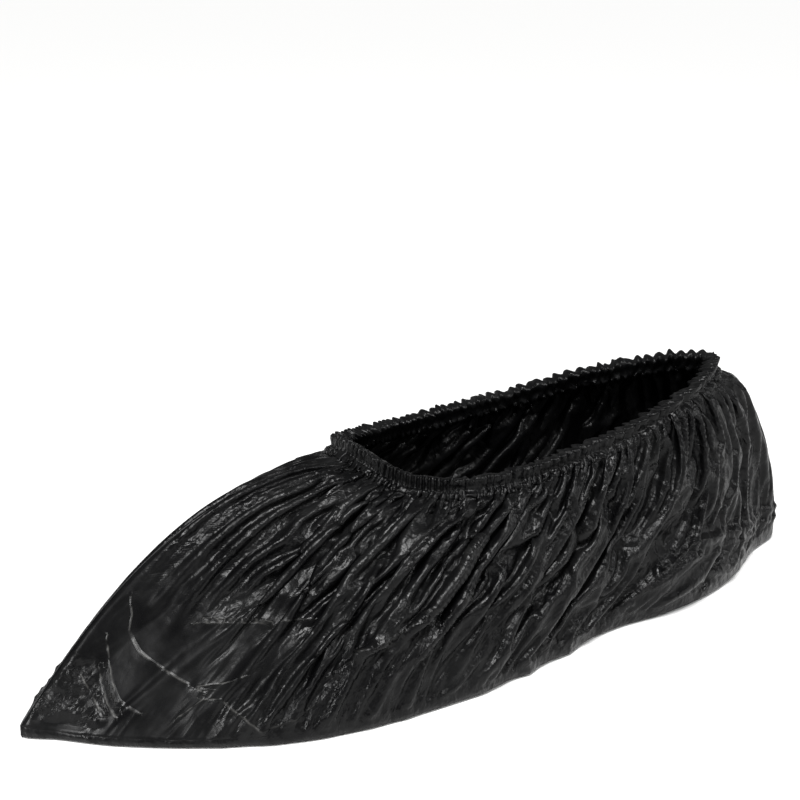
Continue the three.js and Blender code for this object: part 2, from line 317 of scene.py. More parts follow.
# Thin creases, pressed in once the film has settled, in the same form.
THIN_CREASES = {
    NEAR: (
        (0.2, 1.2, 47, 63, 75, 67, 90, 71, 134, 75, 190, 78, 230, 81, 265, 84),
        (0.15, 1.2, 60, 74, 92, 79, 123, 84, 160, 89, 201, 92),
        (0.15, 1.1, 86, 82, 110, 85.5, 145, 90.5, 175, 94),
        (0.3, 1.2, 183, 63, 228, 60, 295, 58, 340, 55),
        (0.2, 1.2, 186, 61, 230, 58.5, 280, 57.5),
        (0.3, 1.2, 255, 92, 268, 86, 290, 86, 336, 93, 368, 99),
        (0.25, 1.2, 368, 98, 404, 95, 450, 86),
        (0.2, 1.1, 249, 82, 280, 80, 300, 78),
        (-0.8, 1.6, 66, 85, 107, 89, 152, 94),
        (1.9, 2.6, 588, 24, 571, 43, 551, 60, 509, 68, 462, 73),
        (1.9, 2.6, 672, 14, 648, 37, 613, 48, 585, 62, 559, 76),
        (0.8, 1.8, 418, 4, 413, 23, 406, 32),
        (0.8, 1.8, 327, 9, 314, 26, 324, 43),
        (0.8, 1.7, 600, 25, 578, 39, 554, 55, 505, 66, 430, 80),
        (1.3, 2.4, 890, 20, 833, 35, 776, 50, 720, 62),
        (1.2, 2.4, 1370, 90, 1260, 84, 1150, 73, 1074, 68, 986, 80, 920, 95),
        (0.9, 2.2, 1370, 95, 1250, 89, 1140, 80, 1060, 75, 970, 86, 900, 96),
        (0.6, 1.5, 1140, 20, 1190, 36, 1150, 55, 1190, 70),
        (0.6, 1.5, 1260, 20, 1290, 45, 1260, 70),
        (0.5, 1.4, 1020, 30, 1060, 48, 1010, 60),
    ),
    FAR: (
        (0.4, 1.2, 65, 56, 80, 70, 170, 78, 250, 84),
        (0.9, 1.7, 540, 20, 520, 50, 460, 75),
        (0.9, 1.7, 720, 15, 680, 40, 600, 70),
        (0.6, 1.5, 880, 20, 820, 40, 740, 60),
        (1.2, 2.4, 1360, 88, 1220, 80, 1100, 70, 1000, 82, 920, 95),
        (0.4, 1.2, 160, 62, 240, 60, 320, 54),
        (0.6, 1.5, 1220, 20, 1260, 50, 1220, 72),
    ),
}


def ramp(x, start, length):
    """From nought at the start to one a length further on."""
    return np.clip((x - start) / length, 0, 1)


def bell(x, middle, reach):
    return np.exp(-((x - middle) / reach) ** 2)


def along_stations(values):
    """A table of eight values, read at the station of each column."""
    return np.interp(column_s, PLACES, values)


def noise_line(x, pitch, seed):
    """Smooth noise along one direction, with a mean of about nought and a spread of about one."""
    draw = np.random.default_rng(seed)
    knots = draw.normal(size=int(np.ceil(np.ptp(x) / pitch)) + 4)
    t = (x - x.min()) / pitch
    index = np.floor(t).astype(int)
    share = t - index
    share = share * share * (3 - 2 * share)
    return knots[index] * (1 - share) + knots[index + 1] * share


def noise_field(x, y, pitch_x, pitch_y, seed):
    """Smooth noise over a surface, from a grid of random knots."""
    draw = np.random.default_rng(seed)
    knots = draw.normal(size=(int(np.ptp(y) / pitch_y) + 4, int(np.ptp(x) / pitch_x) + 4))
    tx, ty = (x - x.min()) / pitch_x, (y - y.min()) / pitch_y
    ix, iy = np.floor(tx).astype(int), np.floor(ty).astype(int)
    fx, fy = tx - ix, ty - iy
    fx, fy = fx * fx * (3 - 2 * fx), fy * fy * (3 - 2 * fy)
    near = knots[iy, ix] * (1 - fx) + knots[iy, ix + 1] * fx
    far = knots[iy + 1, ix] * (1 - fx) + knots[iy + 1, ix + 1] * fx
    return near * (1 - fy) + far * fy


def fold_shape(phase, sharp_crests):
    """A wave with sharp valleys between round crests, as in pleats, or the other way round."""
    shape = 2 * np.abs(np.sin(phase / 2)) ** CREST_POWER - CREST_LEVEL
    return -shape if sharp_crests else shape


def gather_waves(film_u, below, drifted, ratio, seed):
    """Heights of the pleats and folds that the elastic makes."""
    height = np.zeros_like(below)
    starts = [start for _, start in WAVES]
    growth = along_stations(WAVE_GROWTH)
    turns = np.concatenate([[0], np.cumsum(np.diff(film_u) / growth[1:])])
    for number, (length, start) in enumerate(WAVES):
        before = starts[number - 1] if number else start - 1
        after = starts[number + 1] if number + 1 < len(WAVES) else BELOW_ALL
        rising = ramp(below, before, start - before)
        falling = ramp(below, after, start - after)
        weight = np.sqrt(np.where(below < start, rising, falling))
        warp = noise_line(film_u, length * WARP_PITCH, seed + number) * WARP_REACH * length
        swell = 1 + SWELL_REACH * noise_line(film_u, length * SWELL_PITCH, seed + SWELL_SEED + number)
        phase = 2 * np.pi * np.interp(drifted, film_u, turns + warp) / length
        amplitude = length * growth / ratio / 4 * np.sqrt(np.maximum(ratio**2 - 1, 0)) * WAVE_SHARE
        shape = fold_shape(phase, number >= PLEAT_WAVES)
        height += weight * amplitude * np.interp(drifted, film_u, swell) * shape
    return height


def long_folds(form):
    """Heights of the broad folds, each with a furrow on either side of its ridge."""
    height = np.zeros_like(form.v)
    for at, drift, top, foot, depth, width in FOLDS[form.side]:
        x = (form.s - at - drift * form.v) / width
        along = ramp(form.v, top, foot - top)
        profile = FOLD_SWELL * depth * (1 - x**2) * np.exp(-FURROW_FADE * x**2)
        height += profile * np.sin(np.pi * np.sqrt(along)) ** FOLD_ENDS
    return height


def line_distance(form, line):
    """Distance in mm to a line of points, and below nought on its other side."""
    signed = np.full_like(form.v, FAR_AWAY)
    points = [(s / 100, v / 100) for s, v in zip(line[::2], line[1::2])]
    for (s0, v0), (s1, v1) in zip(points[:-1], points[1:]):
        ax, ay = (form.s - s0) * STATION_PITCH, (form.v - v0) * form.wall_length
        bx, by = (s1 - s0) * STATION_PITCH, (v1 - v0) * form.wall_length
        t = np.clip((ax * bx + ay * by) / (bx**2 + by**2), 0, 1)
        distance = np.hypot(ax - t * bx, ay - t * by)
        side = np.where(ax * by - ay * bx < 0, -1, 1)
        signed = np.where(distance < np.abs(signed), side * distance, signed)
    return signed


def creases(form, table):
    """Heights of the single creases, which turn sharply at the ridge."""
    height = np.zeros_like(form.v)
    for ridge, half_width, *line in table:
        distance = np.hypot(line_distance(form, line), CREST_ROUND) - CREST_ROUND
        height += ridge * np.maximum(0, 1 - distance / half_width)
    return height


def nearest_line(form, table):
    """Signed distance to the nearest crease of a table, which stays exact between grid points."""
    signed = np.full_like(form.v, FAR_AWAY)
    for _, _, *line in table:
        other = line_distance(form, line)
        signed = np.where(np.abs(other) < np.abs(signed), other, signed)
    return signed


print("folds", len(FOLDS[NEAR]) + len(FOLDS[FAR]), "creases", len(CREASES[NEAR]) + len(CREASES[FAR]))

# %% [markdown]
# ## Draping the film
# Film hardly stretches, so what it does when it is gathered follows from keeping its lengths. A small
# cloth solver moves the points of the grid until the edges, the diagonals and the bends between them
# have the lengths they had in the flat panel. The hem, the seams and the sole's edge stay where they
# are, and elsewhere the film may stand off the form, or sink into it, by a few millimetres.

# %% The cloth solver
STRETCH, SQUASH = 1.0, 0.6
RISE_STRETCH, RISE_SQUASH = 1.0, 0.8
SHEAR = 0.5
BEND_ALONG, BEND_DOWN = 0.05, 0.2
KEPT_SPEED = 0.92
EASE_BACK = 0.3  # how firmly film that stands too far off is drawn back, in a round
LEAST_ACROSS = 0.25  # keeps folds that run along the rows from taking up endless film
EVERY = slice(None)


def hold_length(points, free, first, second, rest, stretch, squash):
    """Moves pairs of points towards their rest distance."""
    gap = points[second] - points[first]
    length = np.sqrt(np.einsum("...i,...i->...", gap, gap)) + TINY
    off = (length - rest) / length
    strength = np.where(off > 0, stretch, squash)
    share = (strength * off / np.maximum(free[first] + free[second], TINY))[..., None] * gap
    points[first] += free[first][..., None] * share
    points[second] -= free[second][..., None] * share


def across_folds(base, drifted):
    """The direction in the form, at each cell, in which the film is drawn together."""
    along, down = base[:-1, 1:] - base[:-1, :-1], base[1:, :-1] - base[:-1, :-1]
    aa, dd, ad = (along**2).sum(-1), (down**2).sum(-1), (along * down).sum(-1)
    change_along = drifted[:-1, 1:] - drifted[:-1, :-1]
    change_down = drifted[1:, :-1] - drifted[:-1, :-1]
    area = np.maximum(aa * dd - ad**2, TINY)
    part_along = (dd * change_along - ad * change_down) / area
    part_down = (aa * change_down - ad * change_along) / area
    across = part_along[..., None] * along + part_down[..., None] * down
    return across / np.maximum(np.linalg.norm(across, axis=-1, keepdims=True), TINY)


def rest_lengths(base, drifted, ratio, slack):
    """Lengths in the flat panel, which is longer than the form across the folds but not along them."""
    across = across_folds(base, drifted)
    along, down = base[:-1, 1:] - base[:-1, :-1], base[1:, :-1] - base[:-1, :-1]
    share = (across * along).sum(-1) ** 2 / np.maximum((along**2).sum(-1), TINY)
    excess = (ratio[:-1, :-1] ** 2 - 1) / np.maximum(share, LEAST_ACROSS)

    def flat_length(step):
        return np.sqrt((step**2).sum(-1) + excess * (across * step).sum(-1) ** 2) * slack

    def on_rows(values):
        return np.concatenate([values, values[-1:]])

    def on_columns(values):
        return np.concatenate([values, values[:, -1:]], axis=1)

    other = base[1:, :-1] - base[:-1, 1:]
    return (on_rows(flat_length(along)), on_columns(flat_length(down)),
            flat_length(along + down), flat_length(other))


def pairs(count, start, reach, stride):
    """Slices of the first and the second points of pairs that don't share a point."""
    return slice(start, count - reach, stride), slice(start + reach, count, stride)


def hold_edges(points, free, rests):
    """Holds the edges and the diagonals of the grid."""
    width, rise, diagonal, other = rests
    rows, columns = free.shape
    left, right = slice(0, columns - 1), slice(1, columns)
    for odd in (0, 1):
        first, second = pairs(columns, odd, 1, 2)
        hold_length(points, free, (EVERY, first), (EVERY, second), width[:, odd::2], STRETCH, SQUASH)
    for odd in (0, 1):
        upper, lower = pairs(rows, odd, 1, 2)
        hold_length(points, free, (upper,), (lower,), rise[odd::2], RISE_STRETCH, RISE_SQUASH)
        hold_length(points, free, (upper, left), (lower, right), diagonal[odd::2], SHEAR, SHEAR)
        hold_length(points, free, (upper, right), (lower, left), other[odd::2], SHEAR, SHEAR)


def hold_bends(points, free, rests, bend):
    """Opens folds that are too tight, over three points in a row or in a column."""
    width, rise, _, _ = rests
    rows, columns = free.shape
    for start in range(4):
        first, second = pairs(columns, start, 2, 4)
        hold_length(points, free, (EVERY, first), (EVERY, second),
                    (width[:, 1:] + width[:, :-1])[:, start::4], 0, BEND_ALONG * bend)
        upper, lower = pairs(rows, start, 2, 4)
        hold_length(points, free, (upper,), (lower,), (rise[1:] + rise[:-1])[start::4], 0, BEND_DOWN * bend)


def relax(points, form, rounds, bend):
    """Lets the film find its form, and keeps it near the form that it lies on."""
    speed = np.zeros_like(points)
    for _ in range(rounds):
        before = points.copy()
        points += speed * form.free[..., None]
        hold_edges(points, form.free, form.rests)
        hold_bends(points, form.free, form.rests, bend)
        depth = ((points - form.base) * form.normal).sum(-1)
        too_far = np.where(depth > form.stand, (form.stand - depth) * EASE_BACK, 0)
        push = np.where(depth < form.sink, form.sink - depth, too_far)
        points += (push * (form.free > 0))[..., None] * form.normal
        speed = (points - before) * KEPT_SPEED
    return points


print("solver ready")

# %% [markdown]
# Each panel starts from the form, with the waves, folds and creases standing on it, and is then
# draped. A second, finer crumple is added afterwards and draped for a few rounds with little
# stiffness, which leaves the small flat facets and sharp edges of crushed film. The thin creases are
# pressed in last. Over the toe the film lies smooth, except at its tip; at the heel it breaks into
# broad facets, and low on the side it is calmer. Each noise has a fixed seed of its own.

# %% Draping both panels
# Slack of all lengths, and of the lengths that are gathered.
SLACK = (1.0, 1.003, 1.008, 1.012, 1.02, 1.025, 1.025, 1.01)
LENGTH_SLACK = (1.0, 1.005, 1.03, 1.045, 1.05, 1.05, 1.05, 1.03)
DRIFT = (0, 4, 26, 58, 84, 80, 30, 0)  # mm that folds travel towards the toe on their way down
EARLY_DRIFT = 0.5  # the share of it that is even, with the rest further down
# mm that the film may sink into the form and stand off it, and the height of the finer crumple.
SINK = (0.8, 1.0, 2.0, 3.6, 3.6, 3.0, 2.6, 1.4)
STAND = (1.6, 2.0, 4.0, 5.5, 5.5, 5.0, 5.0, 3.0)
CRUMPLE = (0.5, 1.0, 1.7, 1.9, 1.8, 1.2, 1.0, 0.8)
ROOM_AT_HEM, ROOM_REACH = 0.25, 16  # the share of sink and stand there, and mm to the whole
TOE_LESS_ROOM = 0.5
SEAM_FADE = 0.35  # stations
FOOT_FADE, LEAST_AT_FOOT = 0.05, 0.2
# Parts of the wall, as where the ramp into them starts and how long it is: the first down the wall,
# the others along the stations. A length below nought runs towards the toe.
SMOOTH_TOE = ((0.42, 0.25), (4.4, -1.8))
BROAD_HEEL = ((0.14, 0.2), (8.6, 1.6))
CALM_SIDE = ((0.5, 0.2), (3.8, 0.6), (7.6, -0.8))
# How much less film is gathered there, and how much lower the waves and the crumple are.
TOE_LESS, HEEL_LESS, CALM_LESS = 0.9, 0.45, 0.5
HEEL_LOWER, CALM_LOWER, CALM_CRUMPLE_LOWER = 0.7, 0.6, 0.7
BUNCHING, MOST_BUNCHED, BUNCH_PITCHES = 0.42, 1.3, (26.0, 70.0)  # the pitches in mm along and down
# Layers of facets, as pitches along and down in mm, skew, level and height.
BROAD_FACETS = ((21.0, 24.0, 0.0, 0.55, 3.2), (10.0, 12.0, 0.4, 0.55, 1.4))
SMALL_FACETS = ((7.0, 8.0, 0.5, 0.5, 1.0), (4.5, 5.5, -0.4, 0.5, 0.7))
BROAD_ELSEWHERE = 0.4  # of the broad facets, away from the heel
# The crushed corner of the toe, in shares of the wall and in stations.
TIP_TOP, TIP_SLOPE, TIP_FOOT, TIP_RAMP = 0.8, 0.17, 0.98, 0.03
TIP_START, TIP_BACK = 0.75, (1.8, -0.3)
TIP_CRUMPLE = 1.8
ELASTIC_BELOW = 4.0
PINCH_DEPTH, PINCH_REACH, PINCH_CALM = 1.4, 1.7, 0.25
FLARE_REACH, FLARE_PLEAT, FLARE_OUT = 1.2, 0.35, 0.3
MOST_PLEAT = 2.0
DEEPEST_PLEAT = -2.1  # where the film lies on the elastic
SHARPNESS, SHARP_BELOW = 0.6, 12
RUFFLE, RUFFLE_PITCH = 0.35, 3.2
BILLOW, BILLOW_AT, BILLOW_REACH = 1.6, 2, 4
CRUMPLE_LEAST, CRUMPLE_AT, CRUMPLE_REACH = 0.3, 14, 16
FIRST_ROUNDS = 240
LAST_ROUNDS = 40
FIRST_BEND, LAST_BEND = 3.0, 0.3
TOE_UNCRUSHED, TIP_CRUSHED = 0.9, 1.1
CREASE_NEAR = 2.5  # mm from a thin crease in which it is drawn
# How strong the painted highlight along a thin crease is everywhere, and how much stronger it is on the
# smooth toe.
PAINTED_HIGHLIGHT_LEAST, PAINTED_HIGHLIGHT_AT_TOE = 0.08, 0.47


def region(s, v, down, *along):
    """One inside a part of the wall, and nought outside it."""
    inside = ramp(v, *down)
    for edge in along:
        inside = inside * ramp(s, *edge)
    return inside


def sharpen(points, amount):
    """Draws ridges and furrows apart a little, because film folds sharply."""
    blurred = points.copy()
    blurred[:, 2:-2] = (points[:, :-4] + points[:, 1:-3] + points[:, 3:-1] + points[:, 4:]) / 4
    return points + SHARPNESS * amount[..., None] * (points - blurred)


def pinch(below):
    """How strongly the elastic draws the band in, from its top edge down."""
    return bell(below, ELASTIC_BELOW, PINCH_REACH)


def band_heights(height, below):
    """The pleats of the band, which stay shallow under the elastic and flare at the top edge."""
    pleats = MOST_PLEAT * np.tanh(height / MOST_PLEAT)
    flare = np.exp(-below / FLARE_REACH)
    drawn = pleats * (1 - PINCH_CALM * pinch(below) + FLARE_PLEAT * flare) - PINCH_DEPTH * pinch(below)
    return np.maximum(drawn + FLARE_OUT * flare, DEEPEST_PLEAT)


def facets(u, w, layers, seed):
    """Flat facets with sharp ridges between them."""
    height = np.zeros_like(w)
    for number, (pitch_u, pitch_w, skew, level, high) in enumerate(layers):
        height += high * (level - np.abs(noise_field(u + skew * w, w, pitch_u, pitch_w, seed + number)))
    return height


def toe_tip(form):
    """The crushed corner at the toe, which ends at a fold that runs down and back."""
    upper = TIP_TOP + TIP_SLOPE * np.clip(form.s - TIP_START, 0, 1)
    return (ramp(form.v, upper, TIP_RAMP) * ramp(form.v, TIP_FOOT, -TIP_RAMP)
            * ramp(form.s, *TIP_BACK))


def lay_out(side):
    """The form under a panel, with the place of each point on the wall and in the flat film."""
    wall, wall_length = wall_rows(column_s, side)
    base = np.concatenate([band_rows(column_s, side), wall])
    film_u = np.arange(COLUMNS) * flat_column * FILM_SLACK
    below = arc_lengths(base)
    v = np.clip((below - BAND_HEIGHT) / wall_length, 0, 1)
    s = np.broadcast_to(column_s, v.shape)
    travel = EARLY_DRIFT * v + (1 - EARLY_DRIFT) * v**2
    return SimpleNamespace(
        side=side, base=base, normal=surface_normals(base, side), wall_length=wall_length,
        s=s, v=v, below=below, under_hem=np.maximum(below - BAND_HEIGHT, 0),
        film_u=film_u, drifted=film_u + along_stations(DRIFT) * travel,
        smooth_toe=region(s, v, *SMOOTH_TOE), broad_heel=region(s, v, *BROAD_HEEL),
        calm=region(s, v, *CALM_SIDE),
        fade_seams=np.minimum(1, np.minimum(column_s, LAST - column_s) / SEAM_FADE),
        fade_foot=LEAST_AT_FOOT + (1 - LEAST_AT_FOOT) * np.minimum(1, (1 - v) / FOOT_FADE))


def film_ratio(form, seed):
    """How much more film than form there is across the folds, in uneven bunches."""
    spacing = np.linalg.norm(np.gradient(form.base, axis=1), axis=-1)
    width = flat_column * along_stations(LENGTH_SLACK)
    excess = (np.maximum(width / spacing, 1.0) - 1) * (1 - TOE_LESS * form.smooth_toe)
    ratio = 1 + excess * (1 - HEEL_LESS * form.broad_heel)
    noise = noise_field(form.drifted, form.below, *BUNCH_PITCHES, seed + BUNCH_SEED)
    bunched = 1 - CALM_LESS * form.calm + BUNCHING * noise.clip(-MOST_BUNCHED, MOST_BUNCHED)
    return 1 + (ratio - 1) * np.where(form.v > 0, bunched, 1)


def first_heights(form, ratio, seed):
    """How far each point stands off the form before the film is draped."""
    height = gather_waves(form.film_u, form.under_hem, form.drifted, ratio, seed)
    height = height * (1 - HEEL_LOWER * form.broad_heel) * (1 - CALM_LOWER * form.calm)
    elsewhere = BROAD_ELSEWHERE * (1 - form.broad_heel) * (1 - form.smooth_toe) * (form.v > 0)
    height += (form.broad_heel + elsewhere) * facets(
        form.drifted, form.below, BROAD_FACETS, seed + BROAD_SEED)
    height += BILLOW * bell(form.under_hem, BILLOW_AT, BILLOW_REACH) * (form.under_hem > 0)
    height += long_folds(form) + creases(form, CREASES[form.side])
    height *= form.fade_seams * form.fade_foot
    height[:BAND_ROWS] = band_heights(height[:BAND_ROWS], form.below[:BAND_ROWS])
    return height


def crumple_heights(form, seed):
    """The finer crumple, which is deepest a little below the hem."""
    under_band = CRUMPLE_LEAST + (1 - CRUMPLE_LEAST) * bell(form.under_hem, CRUMPLE_AT, CRUMPLE_REACH)
    height = along_stations(CRUMPLE) * facets(
        form.drifted, form.below, SMALL_FACETS, seed + SMALL_SEED)
    height *= (under_band * (1 - form.smooth_toe) * (1 - CALM_CRUMPLE_LOWER * form.calm)
               * form.fade_seams * form.fade_foot * (form.v > 0))
    return height


def set_limits(form, ratio):
    """Which points may move, the lengths in the flat film, and how far it may leave the form."""
    form.free = np.ones(form.v.shape)
    form.free[:BAND_ROWS * 2 // 3] = 0    # the elastic holds the upper two thirds of the band
    form.free[-1] = 0
    form.free[:, (0, -1)] = 0
    form.rests = rest_lengths(form.base, form.drifted, ratio, along_stations(SLACK)[:-1])
    room = np.minimum(1, ROOM_AT_HEM + form.under_hem / ROOM_REACH) * (1 - TOE_LESS_ROOM * form.smooth_toe)
    form.sink = -along_stations(SINK) * room
    form.stand = along_stations(STAND) * room


def film_states(form, tip, shape):
    """How crushed the film is, where the thin creases lie, and how strong the painted highlight along them
    is.
    """
    rows = len(form.v)
    crushed = np.ones(shape)
    crushed[:rows] = 1 - TOE_UNCRUSHED * form.smooth_toe
    crushed[:rows] += TIP_CRUSHED * tip
    crease_side = np.full(shape, FAR_AWAY)
    crease_side[:rows] = nearest_line(form, THIN_CREASES[form.side])
    nearness = np.clip(1 - np.abs(crease_side) / CREASE_NEAR, 0, 1)
    # A painted highlight along the thin creases, strongest on the smooth toe.
    painted_highlight = nearness.copy()
    painted_highlight[:rows] *= PAINTED_HIGHLIGHT_LEAST + PAINTED_HIGHLIGHT_AT_TOE * form.smooth_toe
    return {"crushed": crushed, "crease side": crease_side, "crease near": nearness,
            "painted_highlight": painted_highlight}


def drape(side, seed):
    """A draped panel with its band and underside, its places in the flat film, and its state."""
    form = lay_out(side)
    ratio = film_ratio(form, seed)
    points = form.base + first_heights(form, ratio, seed)[..., None] * form.normal
    ruffle = RUFFLE * noise_line(form.film_u, RUFFLE_PITCH, seed + RUFFLE_SEED)
    points[0, :, 2] += ruffle * form.fade_seams
    set_limits(form, ratio)
    points = relax(points, form, FIRST_ROUNDS, FIRST_BEND)
    points += (crumple_heights(form, seed) * form.free)[..., None] * form.normal
    points = relax(points, form, LAST_ROUNDS, LAST_BEND)
    points = sharpen(points, form.free * np.minimum(1, form.under_hem / SHARP_BELOW))
    tip = toe_tip(form)
    tip_facets = TIP_CRUMPLE * tip * form.fade_seams * facets(
        form.film_u, form.below, SMALL_FACETS, seed + TIP_SEED)
    pressed = creases(form, THIN_CREASES[side]) + tip_facets
    points += pressed[..., None] * surface_normals(points, side)
    off_form = ((points - form.base) * form.normal).sum(-1)
    print("panel", side, "folds from", round(float(off_form.min()), 1),
          "to", round(float(off_form.max()), 1), "mm")
    under = under_rows(points[-1])
    film_v = arc_lengths(np.concatenate([form.base, under]))
    fold_u = np.concatenate([form.drifted, np.broadcast_to(form.drifted[-1], (len(under), COLUMNS))])
    states = film_states(form, tip, film_v.shape)
    return np.concatenate([points, under]), form.film_u, film_v, fold_u, states


draped = {side: drape(side, seed) for side, seed in PANEL_SEEDS.items()}
print("cut length of a panel", round(float(draped[NEAR][1][-1])), "mm")

# %% [markdown]
# ## The panels as meshes
# A grid becomes a mesh of four-sided faces. The length and the depth in the flat film go into a UV
# map, so that a pattern in the film follows its folds. A second map follows the folds themselves, and
# how crushed the film is goes into an attribute, because it lies smooth over the toe. Solidify then
# gives the film a wall, because a single sheet has no inside.

# %% Meshes from grids
UV_SPAN = 450.0  # mm of flat film that the UV map's unit square covers
FILM_THICKNESS = 0.25
OVERLAP_ROWS = 1
UNDERLAP = 0.15  # mm that the panel's first row passes behind the hem's last


def add_uv_map(mesh, name, u, v, corners):
    shape = np.broadcast_shapes(u.shape, v.shape)
    uv = np.stack([np.broadcast_to(u, shape), np.broadcast_to(v, shape)], axis=-1)
    uv = uv.reshape(-1, 2) / UV_SPAN
    mesh.uv_layers.new(name=name).data.foreach_set("uv", uv[corners].reshape(-1).astype(np.float32))


def grid_mesh(name, points, film_u, film_v, fold_u, states, inward):
    """A mesh from a grid of points, with faces outwards, two UV maps and the state of the film."""
    rows, columns = points.shape[:2]
    index = np.arange(rows * columns).reshape(rows, columns)
    corners = [index[:-1, :-1], index[1:, :-1], index[1:, 1:], index[:-1, 1:]]
    if inward:
        corners.reverse()
    faces = np.stack(corners, axis=-1).reshape(-1, 4)
    mesh = bpy.data.meshes.new(name)
    mesh.from_pydata((points.reshape(-1, 3) * MM).tolist(), [], faces.tolist())
    add_uv_map(mesh, "film", film_u, film_v, faces.reshape(-1))
    add_uv_map(mesh, "folds", fold_u, film_v, faces.reshape(-1))
    for label, state in states.items():
        attribute = mesh.attributes.new(label, "FLOAT", "POINT")
        attribute.data.foreach_set("value", state.reshape(-1).astype(np.float32))
    mesh.shade_smooth()
    return mesh


def thicken(thing):
    """Gives a sheet the thickness of the film, on its inner side."""
    wall = thing.modifiers.new("film thickness", "SOLIDIFY")
    wall.thickness = FILM_THICKNESS * MM
    wall.offset = -1


def add_panel(name, side):
    points, film_u, film_v, fold_u, states = draped[side]
    first = BAND_ROWS - OVERLAP_ROWS
    points = points[first:].copy()
    points[0] -= UNDERLAP * surface_normals(points, side)[0]
    kept = {label: state[first:] for label, state in states.items()}
    mesh = grid_mesh(name, points, film_u, film_v[first:], fold_u[first:], kept, side == FAR)
    panel = add_object(name, mesh)
    thicken(panel)
    return panel


film_near = add_panel("film_near", NEAR)
film_far = add_panel("film_far", FAR)
print("faces in a panel", len(film_near.data.polygons))

# %% [markdown]
# ## The hem
# The mouth of the bag is folded over an elastic and welded down, so the hem is a second layer of film
# that is drawn together with the first. It is made from the same grid as the panels: the outside of the
# band, the rolled top edge, and the flap that hangs down inside, as one closed ring.

# %% The hem as one ring
BAND_DEPTH = 5.2
INNER_PINCH = 1.6  # how far the inside is drawn out by the elastic, in depths of the pinch
MERGE_DISTANCE = 0.002
INNER_CLEAR = -3.5  # the inside stays further in than the elastic
TOP_ROLL = ((0.12, 0.45), (0.5, 0.75), (0.88, 0.45))  # share of the band's depth, and mm above it


def hem_half(side):
    """Rows of half the hem, from the outside's foot over the top edge and down inside."""
    points = draped[side][0]
    outward, top = hem_directions(column_s, side)
    outside = points[:BAND_ROWS + 1]
    edge = outside[0]
    rows = list(outside[::-1])
    for share, above in TOP_ROLL:
        rows.append(edge - share * BAND_DEPTH * outward + above * top)
    for number, row in enumerate(outside[:BAND_ROWS]):
        below = number * BAND_HEIGHT / BAND_ROWS
        height = ((row - hem_top(column_s, side) + below * top) * outward).sum(-1, keepdims=True)
        inner = np.minimum(height - BAND_DEPTH + INNER_PINCH * PINCH_DEPTH * pinch(below), INNER_CLEAR)
        rows.append(row + (inner - height) * outward)
    return np.array(rows)


hem_near, hem_far = hem_half(NEAR), hem_half(FAR)
hem_grid = np.concatenate([hem_near, hem_far[:, -2:0:-1]], axis=1)
hem_grid = np.concatenate([hem_grid, hem_grid[:, :1]], axis=1)
hem_u = np.concatenate([draped[NEAR][1], draped[NEAR][1][-1] * 2 - draped[FAR][1][-2::-1]]) / 2
hem_v = arc_lengths(hem_grid)
hem_shape = hem_grid.shape[:2]
hem_states = {label: np.full(hem_shape, value) for label, value in (
    ("crushed", 1.0), ("crease side", FAR_AWAY), ("crease near", 0.0), ("painted_highlight", 0.0))}
hem_mesh = grid_mesh("hem", hem_grid[::-1], hem_u, hem_v[::-1], hem_u, hem_states, False)
hem = add_object("hem", hem_mesh)


def merge_close(mesh, distance):
    """Joins points that lie on each other, as at a seam or where columns meet."""
    work = bmesh.new()
    work.from_mesh(mesh)
    bmesh.ops.remove_doubles(work, verts=work.verts, dist=distance)
    work.to_mesh(mesh)
    work.free()
    mesh.shade_smooth()


for thing in (film_near, film_far, hem):
    merge_close(thing.data, MERGE_DISTANCE * MM)
thicken(hem)
print("faces in the hem", len(hem.data.polygons))

# %% [markdown]
# ## Node trees
# Two of the parts repeat something along a path, and all the finishes are node trees. A small class
# wraps a socket so that sums on it add their own Math nodes, and a second one adds any other node.

# %% Expressions on sockets


class Value:
    """A socket of a node tree that can be used in Python expressions."""

    def __init__(self, tree, socket):
        self.tree = tree
        self.socket = socket

    def maths(self, operation, *others, swap=False):
        terms = [self, *others]
        if swap:
            terms.reverse()
        return self.tree.node("ShaderNodeMath", {"operation": operation}, dict(enumerate(terms)))[0]

    def __add__(self, other):
        return self.maths("ADD", other)

    def __sub__(self, other):
        return self.maths("SUBTRACT", other)

    def __rsub__(self, other):
        return self.maths("SUBTRACT", other, swap=True)

    def __mul__(self, other):
        return self.maths("MULTIPLY", other)


class Tree:
    """Adds nodes to a node tree, settings first and then the values or links of the sockets."""

    def __init__(self, node_tree):
        self.node_tree = node_tree

    def node(self, kind, settings=None, inputs=None):
        new = self.node_tree.nodes.new(kind)
        for name, value in (settings or {}).items():
            setattr(new, name, value)
        for name, value in (inputs or {}).items():
            if isinstance(value, Value):
                self.node_tree.links.new(value.socket, new.inputs[name])
            else:
                new.inputs[name].default_value = value
        return Outputs(self, new)


class Outputs:
    """The outputs of a node, by number or by name."""

    def __init__(self, tree, node):
        self.tree = tree
        self.made = node

    def __getitem__(self, name):
        return Value(self.tree, self.made.outputs[name])


print("node helpers ready")

# %% [markdown]
# ## The welds at the toe and the heel
# The two panels are welded by a hot bar that also cuts them apart, which leaves a thin bead of film with
# pressed marks. Geometry Nodes run a small bead along the seam and set a short bar across it at every
# pressed mark, from the seam's path and three named sizes.

# %% The weld tree
WELD_BEAD = 0.35
WELD_MARK_PITCH = 2.2
WELD_MARK_RADIUS = 0.42
WELD_MARK_STRETCH = (1.0, 1.0, 1.5)


def path_object(name, points):
    """A mesh of edges alone, which Geometry Nodes turn into a curve."""
    edges = [(number, number + 1) for number in range(len(points) - 1)]
    mesh = bpy.data.meshes.new(name)
    mesh.from_pydata((np.asarray(points) * MM).tolist(), edges, [])
    return add_object(name, mesh)


